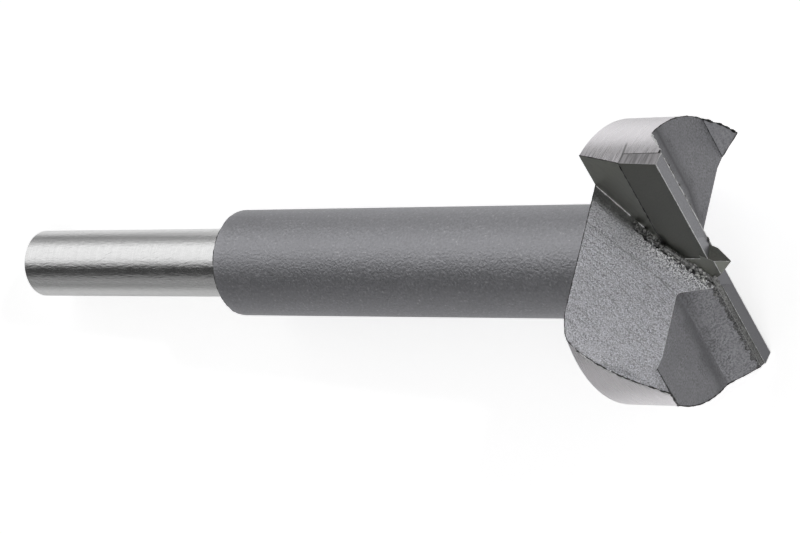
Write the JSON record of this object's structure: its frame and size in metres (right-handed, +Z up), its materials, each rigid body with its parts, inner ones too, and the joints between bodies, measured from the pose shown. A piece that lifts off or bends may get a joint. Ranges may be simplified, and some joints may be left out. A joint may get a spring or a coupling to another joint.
{
  "type": "forstner bit",
  "caption": "Carbide-tipped forstner bit with a round shank, a thicker stem and a two-winged head with a centre point.",
  "frame": {"origin": "centre of the shank's rear face", "axes": "+X along the bit's axis towards the head, +Z up with one chip flute facing straight up"},
  "size_m": [0.1216, 0.038, 0.0322],
  "materials": {
    "tool_steel": "turned and blasted steel, bright ground shank and lands",
    "carbide": "ground tungsten carbide",
    "braze": "rough silver braze"
  },
  "bodies": {
    "root": {"steel_body": "tool_steel", "cutter_plate": "carbide", "braze_seam": "braze"}
  },
  "joints": []
}
